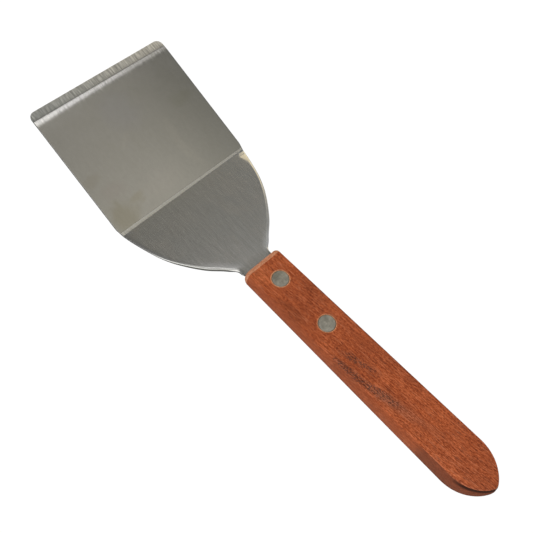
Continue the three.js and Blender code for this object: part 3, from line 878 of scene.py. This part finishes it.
def shoulder_marks_and_light(base, along, y, rim, fine):
    # the sheared edge on the left is duller, and painted dark as shade along it
    edge = rim - along.grade(start=-21.0, end=-37.0, to=(0.0, 0.34))
    extent = (along.grade(start=-12.0, end=-21.0)
              * along.grade(start=-50.3, end=-48.8, to=(0.25, 1.0)))
    sheared = edge.grade(start=-0.08, end=-0.28) * extent * y.grade(start=0.0, end=1.0)
    base = base.paint((0.105, 0.105, 0.090), sheared * 0.90)
    # painted highlight: paler in the right curve of the neck, streaked like the brushing
    curve = (rim.grade(start=5.2, end=1.8, soft=True) * along.hump(centre=-46.0, width=7.0)
             * y.grade(start=0.0, end=-1.0))
    curve = curve * (0.55 + (fine - 0.3) * 1.1)
    base = base.paint((0.86, 0.87, 0.87), curve * 0.9)
    # painted shade: a dark spot at the edge beside the right of the neck
    nook_shade = (along.grade(start=-49.0, end=-49.8) * rim.grade(start=1.6, end=0.4)
            * y.grade(start=0.0, end=-1.0))
    return base.paint((0.20, 0.20, 0.19), nook_shade * 0.55)


def blade_material():
    material, graph = new_material("blade_steel")
    along, y, height = graph.attribute("sheet", "Vector").split()
    rim = graph.attribute("rim", "Fac")
    # zones along the sheet
    lip = along.grade(start=FLAT_LENGTH - 0.05, end=FLAT_LENGTH + 0.15)
    shoulder = along.grade(start=0.6, end=-1.0, soft=True)
    from_bend = abs(along + y * 0.007)
    # the mark the press brake leaves on the bend, tapering to one side: rougher, and painted
    # lighter than the flat as a highlight
    press_mark_highlight = (from_bend - y * 0.004).grade(start=0.82, end=0.50)
    under = height.grade(start=-0.55, end=-1.1)
    flat = (1.0 - shoulder) * (1.0 - lip)

    fine = graph.noise((along * 0.11, y * 1.75, height * 1.0), detail=2.0, rough=0.6)
    long, scratches, ground, cloud, smudge, haze, scuff = [
        graph.noise((along * lengthways, y * across, layer), detail, rough, warp=warp)
        for lengthways, across, layer, detail, rough, warp in BLADE_NOISE
    ]
    wave = (fine - 0.5) * 0.80 + (long - 0.5) * 0.20

    base = flat_colour(graph, along, y, cloud, smudge, haze, flat)
    hazy = haze.grade(start=0.36, end=0.64)
    base = base.paint(graph.mix(hazy, (0.594, 0.593, 0.570), (0.622, 0.609, 0.576)), shoulder)
    # painted highlight on the bend, lighter to the left
    rightward = y.grade(start=34.0, end=-34.0)
    base = base.paint(graph.mix(rightward, (0.735, 0.722, 0.662), (0.675, 0.664, 0.613)), press_mark_highlight)
    # painted light on the ground lip: darker at the left, lighter to the right
    rightward = y.grade(start=34.0, end=-30.0)
    base = base.paint(graph.mix(rightward, (0.545, 0.558, 0.540), (0.735, 0.718, 0.668)), lip)
    strength = 0.09 + (shoulder * 0.17 + press_mark_highlight * 0.3)  # of the brushing, zone by zone
    line = 1.0 + (scuff - 0.5) * 0.12 + wave * strength
    lip_line, lip_shade = lip_tone(along, lip, scratches, ground)
    tone = line * lip_line * lip_shade
    base = base.multiply(graph.vector(tone, tone, tone))
    base = shoulder_marks_and_light(base, along, y, rim, fine)

    rough = 0.145 + (smudge - 0.5) * 0.07
    for zone, value in (
        (shoulder, 0.20 + wave * 0.10),
        (shoulder * rim.grade(start=2.4, end=0.6), 0.13),
        (press_mark_highlight, 0.52),
        (lip, 0.46),
    ):
        rough = graph.mix_value(zone, rough, value)
    rough = rough + under * 0.08

    # relief: scratches that run back from the ground lip, its own lines, the shoulder's brushing
    back = along.grade(start=FLAT_LENGTH - 4.2, end=FLAT_LENGTH - 0.3, soft=True)
    back = back * (1.0 - lip) * ((scratches - 0.5) * 0.055)
    relief = back + (ground - 0.5) * lip * 0.022 + wave * shoulder * 0.003
    tangent = graph.add("ShaderNodeTangent", direction_type="UV_MAP", uv_map="brush")
    graph.principled(base, rough, relief, Metallic=1.0, Anisotropic=0.15 + shoulder * 0.35,
                     Tangent=tangent)
    return material


# ------------------------------------------------------------------ steel of the rivets
def rivet_material():
    material, graph = new_material("rivet_steel")
    reach, y, _ = graph.attribute("grain", "Vector").split()
    place = graph.add("ShaderNodeNewGeometry", output="Position")
    scaled = {0: place, 1: (1 / MM,) * 3}
    world = graph.add("ShaderNodeVectorMath", scaled, operation="MULTIPLY").split()
    at = graph.vector(world[0] * 1.0, world[1], world[2])
    # two sets of crossing lines; the world x makes each head's differ
    lines = graph.noise((reach * 1.6, y * 0.35, world[0] * 0.05), detail=3.0, rough=0.6)
    crossing = graph.noise((reach * 0.30, y * 1.3, world[0] * 0.05), detail=3.0, rough=0.6)
    blotch = graph.noise(at, scale=0.42, detail=3.0, rough=0.6, warp=0.6)
    pits = graph.noise(at, scale=1.9, detail=2.0, rough=0.5)
    base = graph.mix(blotch.grade(start=0.36, end=0.66),
                     (0.402, 0.384, 0.322), (0.562, 0.538, 0.468))
    tone = 1.0 + ((lines - 0.5) * 0.75 + (crossing - 0.5) * 0.6)
    base = base.multiply(graph.vector(tone, tone, tone))
    base = base.paint((0.25, 0.235, 0.19), pits.grade(start=0.62, end=0.72) * 0.45)
    # painted shade: each head darker towards its round edge, beside the gap
    rim = graph.length(reach, y).grade(start=HEAD_RADIUS - 0.45, end=HEAD_RADIUS - 0.05,
                                       to=(0.0, 0.35))
    base = base.paint((0.30, 0.27, 0.20), rim)
    relief = (lines + (crossing + pits * 0.5)) * 0.022
    graph.principled(base, 0.34 + (blotch - 0.5) * 0.22, relief, Metallic=1.0)
    return material


# ------------------------------------------------------------------ wood
GRAIN_LEAN = math.tan(math.radians(3.6))  # the grain runs off the handle's own line
BEND_START, BEND_RATE = 88.0, 0.0011  # and more so towards the butt
RIVET_RING_HIGHLIGHT_SHARES = (0.80, 0.60)


def wood_figure(graph, base, reach, y, height, at):
    """Two speckled dark bands, the pinkish brown they fade into and a paler front left."""
    speck = graph.noise((reach * 1.35, y * 2.1, height + 5.0), detail=1.0, rough=0.5)
    upper = graph.spot(at, centre=(62.5, 8.6), half=(13.0, 2.5), turn=-6.0)
    upper = upper.max(graph.spot(at, centre=(76.5, 6.3), half=(15.0, 2.6), turn=-12.0))
    lower = graph.spot(at, centre=(63.0, 2.5), half=(13.5, 2.0), turn=-14.0)
    fade = graph.spot(at, centre=(86.0, 5.0), half=(20.0, 3.6), turn=-13.0)
    base = base.paint((0.335, 0.104, 0.050), fade * 0.50)
    base = base.paint((0.250, 0.080, 0.042), upper * 0.30)
    dots = speck.grade(start=0.47, end=0.56)
    bands = (upper * 1.0).max(lower * 1.0)
    base = base.paint((0.250, 0.062, 0.024), lower * 0.25)
    speckle = bands.grade(start=0.0, end=0.8) * dots * 0.84
    base = base.paint((0.078, 0.034, 0.023), speckle)
    front_left = graph.spot(at, centre=(5.0, 5.5), half=(9.0, 7.0))
    return base.paint((0.52, 0.135, 0.042), front_left * 0.45)


def wood_shading(graph, base, reach, y, at):
    """Darker to each side between the rivets, lighter further back and at the left of the butt."""
    for side, share in ((7.8, 0.80), (-7.8, 0.62)):
        dark = graph.spot(at, centre=(27.0, side), half=(13.0, 4.2)) * share
        base = base.tint((0.72, 0.72, 0.74), dark)
    base = base.tint((1.10, 1.09, 1.05), reach.hump(centre=95.0, width=14.0))
    left = reach.grade(start=88.0, end=112.0) * y.grade(start=-3.0, end=6.5)
    return base.tint((1.10, 1.16, 1.26), left)


def wood_sides(graph, base, y, crease, side, wavy_reach):
    """The plainer sides, with painted light making them lighter further down, and a darker left
    flank of the butt.
    """
    # painted light: the sides lighter further down, towards the middle of their height
    down = crease.grade(start=-2.0, end=-6.0)
    colour = graph.mix(down, (0.325, 0.086, 0.037), (0.410, 0.123, 0.056))
    base = base.paint(colour, side * 0.55)
    # darker on the left flank from reach 99 back
    flank = crease.grade(start=-0.10, end=-0.45) * y.grade(start=-4.0, end=0.0)
    darker_flank = wavy_reach.grade(start=99.0, end=106.0, soft=True) * flank * 0.52
    base = base.paint((0.105, 0.040, 0.026), darker_flank)
    # darkest under the face's edge at the tip
    tip_dark_line = crease.grade(start=-0.12, end=-0.4) * crease.grade(start=-2.6, end=-1.4)
    tip_dark_line = (tip_dark_line * y.grade(start=-5.0, end=-2.0)
              * wavy_reach.grade(start=116.0, end=124.0, soft=True))
    return base.paint((0.022, 0.010, 0.007), tip_dark_line * 0.85)


def wood_edges(graph, base, reach, y, crease, hair):
    """The edge at the butt, lighter from wear and a painted highlight, the sawn bevel at the front
    and painted highlight rings around the rivets.
    """
    # pale line along the face's edge at the butt: partly wear, partly painted highlight
    worn_edge_highlight = (crease.hump(centre=0.05, width=0.30) * reach.grade(start=104.0, end=120.0)
            * hair.grade(start=0.35, end=0.6))
    base = base.paint((0.60, 0.23, 0.13), worn_edge_highlight * 0.55)
    bevel = HANDLE_FRONT + BEVEL_LENGTH
    nose = reach.grade(start=bevel + 0.10, end=bevel - 0.12)
    pale = graph.mix(hair.grade(start=0.36, end=0.62), (0.48, 0.170, 0.076), (0.77, 0.370, 0.218))
    base = base.paint(pale, nose * 0.88)
    for rivet, share in zip(RIVET_REACH, RIVET_RING_HIGHLIGHT_SHARES):
        # painted highlight: a pale ring on the edge of each rivet's seat, stronger at the front
        # rivet
        distance = graph.length(reach - rivet, y)
        ring = (distance.hump(centre=HEAD_RADIUS + PLAY + 0.16, width=0.42)
                * hair.grade(start=0.34, end=0.56, to=(0.35, 1.0)))
        base = base.paint((0.80, 0.42, 0.22), ring * share)
    return base


def wood_material():
    material, graph = new_material("handle_wood")
    crease = graph.attribute("crease", "Fac")
    reach, y, height = graph.attribute("grain", "Vector").split()
    # coordinates that follow the grain
    bend = (reach - BEND_START).max(0.0)
    across = y + reach * GRAIN_LEAN + bend * bend * BEND_RATE
    along = reach - y * GRAIN_LEAN
    wander = graph.noise((along * 0.035, across * 0.07, height * 0.06), detail=2.0, rough=0.5)
    across = across + (wander - 0.5) * 2.6
    # face coordinates with an uneven shift, for the edges of spots
    shift = graph.noise((reach * 0.14, y * 0.3, 3.0), detail=3.0, rough=0.6)
    shift = (shift - 0.5) * 5.0
    wavy = reach + shift, y + shift * 0.45

    def fibre(scales, detail=1.0, rough=0.5, layer=None):
        depth = height * scales[2]
        at = along * scales[0], across * scales[1], depth if layer is None else depth + layer
        return graph.noise(at, detail, rough)

    broad = fibre((0.045, 0.20, 0.2), detail=3.0, rough=0.55)
    streak = fibre((0.055, 2.5, 1.3), detail=2.0, rough=0.6)
    fleck = fibre((0.17, 3.0, 1.6))
    hair = fibre((0.95, 3.3, 2.2))
    dash = fibre((0.16, 2.7, 1.1), layer=23.0)
    pore = fibre((0.24, 2.5, 1.4), layer=11.0)

    base = broad.ramp([(0.32, (0.316, 0.0668, 0.0193)), (0.48, (0.356, 0.0755, 0.0215)),
                       (0.64, (0.398, 0.0860, 0.0243))])
    base = wood_figure(graph, base, reach, y, height, wavy)
    # brightness of the fibres; the darker, the redder
    shade = (streak - 0.5) * 0.85 + (fleck - 0.5) * 1.00
    shade = 1.0 + shade + (hair - 0.5) * 2.10
    shade = shade.max(0.25)
    base = base.multiply(graph.vector(shade, shade**1.4, shade**1.9))
    base = base.paint((0.56, 0.180, 0.082), dash.grade(start=0.58, end=0.70) * 0.55)
    base = base.paint((0.125, 0.030, 0.012), pore.grade(start=0.59, end=0.70) * 0.48)
    base = wood_shading(graph, base, reach, y, wavy)
    side = crease.grade(start=-0.12, end=-0.55)
    base = wood_sides(graph, base, y, crease, side, wavy[0])
    base = wood_edges(graph, base, reach, y, crease, hair)

    relief = hair * 0.030 + fleck * 0.045 - pore.grade(start=0.60, end=0.72) * 0.035
    shine = {"Specular IOR Level": graph.mix_value(side, 0.26, 0.12)}  # face, sides
    graph.principled(base, 0.60 + (streak - 0.5) * 0.25, relief, **shine)
    return material


# ------------------------------------------------------------------ build
def set_material(ob, material):
    ob.data.materials.clear()
    ob.data.materials.append(material)


for build, part, slot, make_material in (
    (build_blade, "blade", "blade_steel", blade_material),
    (build_handle, "handle", "handle_wood", wood_material),
):
    built = build()
    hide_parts(part)
    set_material(built, make_material())
    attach(built, "root")

rivet_steel = rivet_material()
for rivet_piece in build_rivets():
    set_material(rivet_piece, rivet_steel)
    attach(rivet_piece, "root")


# ------------------------------------------------------------------ floor
def floor_material():
    """Pale and glowing to the camera, dimmer in what the tool gets back from it."""
    material, graph = new_material("floor_pale")
    pale = graph.add("ShaderNodeBsdfDiffuse", {"Color": (0.86, 0.86, 0.86)})
    glow = graph.add("ShaderNodeEmission", {"Strength": 1.06})
    seen = graph.mix_shader(0.94, pale, glow)
    is_camera = graph.add("ShaderNodeLightPath", output="Is Camera Ray")
    is_glossy = is_camera.sibling("Is Glossy Ray")
    grey = graph.mix(is_glossy, (0.60, 0.60, 0.60), (0.24, 0.24, 0.24))
    dim = graph.add("ShaderNodeBsdfDiffuse", {"Color": grey})
    graph.finish(graph.mix_shader(is_camera, dim, seen))
    return material


def build_floor():
    mesh = bpy.data.meshes.new("floor")
    bm = bmesh.new()
    bmesh.ops.create_grid(bm, x_segments=2, y_segments=2, size=3.0)
    bm.to_mesh(mesh)
    bm.free()
    ob = bpy.data.objects.new("floor", mesh)
    ob.location.z = CAD_LOW.z - 0.0004
    bpy.context.scene.collection.objects.link(ob)
    ob.data.materials.append(floor_material())


# ------------------------------------------------------------------ surroundings
# In what follows, forward and left are degrees from straight up, and stops are (degrees, colour).
def overhead(graph, forward, left):
    """A soft grey roof, darker to the right, and the part ahead that the shoulder mirrors."""
    roof = left.sweep(
        (-50, 0.40), (-42, 0.36), (-36, 0.20), (-30, 0.182), (-26, (0.230, 0.226, 0.202)),
        (-24, (0.286, 0.280, 0.252)), (-22, (0.342, 0.333, 0.302)), (-20.5, (0.376, 0.366, 0.330)),
        (-18.5, (0.396, 0.385, 0.350)), (-15, (0.402, 0.390, 0.356)), (-13, (0.366, 0.355, 0.322)),
        (-8, (0.365, 0.354, 0.322)), (4, 0.36), (30, 0.5))
    roof = roof.multiply(forward.sweep(
        (-10.0, 1.25), (4.4, 1.30), (8.4, 1.17), (12.0, 1.0), (15.2, (0.90, 0.90, 0.91)),
        (18.0, (0.84, 0.84, 0.86)), (30.0, (0.80, 0.80, 0.83))))
    ahead = left.sweep(
        (-50, 0.38), (-41, 0.32), (-37, 0.25), (-33, (0.206, 0.208, 0.206)),
        (-31, (0.215, 0.214, 0.207)), (-28, (0.228, 0.225, 0.213)), (-24, (0.224, 0.220, 0.207)),
        (-20, (0.192, 0.189, 0.177)), (-8, 0.17), (4, 0.20), (30, 0.24))
    ahead = ahead.multiply(forward.sweep(
        (30.0, 1.4), (37.5, 1.18), (40.5, 1.11), (45.0, 1.03), (54.0, (1.25, 1.15, 0.92)),
        (60.0, (1.3, 1.2, 0.95))))
    return graph.mix(forward.grade(start=27.0, end=33.0, soft=True), roof, ahead)


def add_lamp(colour, forward, left):
    """A long lamp across the roof, brightest and widest at its left end."""
    start = left.grade(start=-17.0, end=-12.5, to=(22.0, 19.2))
    lamp = ((forward - start).grade(start=0.0, end=4.6, soft=True)
            * forward.grade(start=33.0, end=30.0, soft=True))
    lamp = lamp * left.grade(start=-2.0, end=-9.0)
    light = left.sweep(
        (-50, 0.45), (-40, (0.50, 0.51, 0.50)), (-28, (0.42, 0.41, 0.38)),
        (-25.7, (0.52, 0.51, 0.48)), (-24.8, (0.78, 0.77, 0.76)), (-23.1, (1.12, 1.10, 1.13)),
        (-21.3, (1.28, 1.26, 1.31)), (-19.5, (1.24, 1.24, 1.33)), (-15.7, (1.26, 1.26, 1.36)),
        (-12.5, 1.7), (30, 1.8))
    return colour.paint(light, lamp)


def add_left_wall(colour, forward, left):
    """White above, dark at its foot."""
    wall = left.sweep((0.0, 0.9), (9.5, 1.5), (41.8, 1.5), (49.4, 0.15), (95.0, 0.10))
    edge = forward.grade(start=21.0, end=29.0, to=(2.0, 32.0))
    return colour.paint(wall, (left - edge).grade(start=0.0, end=6.0, soft=True))


def add_board(graph, colour, forward, left):
    """A cream board on the right, ahead of the tool."""
    down = left * -0.01  # hundreds of degrees to the right
    inner = forward.sweep(
        (10.0, 0.365), (20.0, 0.375), (28.0, 0.388), (36.0, 0.41), (42.5, 0.445),
        (44.5, 0.485), (46.0, 0.49), (47.5, 0.487), (60.0, 0.487))
    outer = forward.sweep(
        (10.0, 0.44), (25.0, 0.435), (32.0, 0.445), (35.0, 0.50), (37.5, 0.75), (60.0, 0.75))
    cream = ((down - inner).grade(start=-0.004, end=0.008)
             * (outer - down).grade(start=0.0, end=0.05))
    cream = cream * forward.grade(start=30.0, end=37.0)
    low = down.grade(start=0.60, end=0.68) * forward.grade(start=-8.0, end=8.0) * 0.75
    cream = cream.max(low)
    dull = forward.grade(start=43.0, end=40.0) * down.grade(start=0.455, end=0.50)
    board = graph.mix(dull, (1.34, 1.17, 0.84), (1.05, 0.93, 0.70))
    foot = down.grade(start=0.58, end=0.63) * forward.grade(start=33.0, end=37.0)
    return colour.paint(board.paint((0.56, 0.54, 0.49), foot), cream)


def build_world():
    world = bpy.data.worlds.new("studio")
    bpy.context.scene.world = world
    graph = Graph(world)
    x, y, z = graph.add("ShaderNodeTexCoord", output="Generated").split()
    degrees = 180 / math.pi
    forward = graph.math("ARCTAN2", x, z) * degrees
    left = graph.math("ARCTAN2", y, z) * degrees
    colour = overhead(graph, forward, left)
    colour = add_lamp(colour, forward, left)
    colour = add_left_wall(colour, forward, left)
    colour = add_board(graph, colour, forward, left)
    # behind the butt it is dark
    behind = forward.grade(start=-8.0, end=-40.0, to=(0.0, 0.85), soft=True)
    colour = colour.paint((0.13, 0.13, 0.13), behind)
    studio = graph.add("ShaderNodeBackground", {"Color": colour, "Strength": 1.0})
    plain = graph.add("ShaderNodeBackground", {"Color": (0.93, 0.93, 0.93)})
    is_camera = graph.add("ShaderNodeLightPath", output="Is Camera Ray")
    graph.finish(graph.mix_shader(is_camera, studio, plain), "ShaderNodeOutputWorld")


# ------------------------------------------------------------------ lights and camera
def area_light(name, offset, size, power):
    """A disk light in metres and watts, offset from the tool's middle and aimed at it."""
    middle = (CAD_LOW + CAD_HIGH) / 2
    data = bpy.data.lights.new(name, "AREA")
    data.shape, data.size, data.energy = "DISK", size, power
    ob = bpy.data.objects.new(name, data)
    ob.location = middle + Vector(offset)
    ob.rotation_mode = "QUATERNION"
    ob.rotation_quaternion = (middle - (middle + Vector(offset))).to_track_quat("-Z", "Y")
    ob.visible_glossy = False
    bpy.context.scene.collection.objects.link(ob)


def build_camera():
    data = bpy.data.cameras.new("camera")
    ob = bpy.data.objects.new("camera", data)
    bpy.context.scene.collection.objects.link(ob)
    data.sensor_width, data.lens = 36.0, 40.525328
    data.clip_start, data.clip_end = 0.01, 50
    ob.location = (-0.05642078, 0.09661190, 0.27346732)
    ob.rotation_mode = "QUATERNION"
    ob.rotation_quaternion = (-0.42694629, 0.12356616, 0.14443094, 0.88407464)
    bpy.context.scene.camera = ob


build_floor()
build_world()
area_light("key", offset=(0.30, 0.95, 0.70), size=0.8, power=6.2)
area_light("side", offset=(0.10, 1.25, 0.22), size=0.8, power=1.8)
area_light("fill", offset=(0.3, -0.7, 1.1), size=1.0, power=1.4)
build_camera()
bpy.context.scene.view_settings.view_transform = "Standard"
bpy.context.scene.view_settings.look = "None"
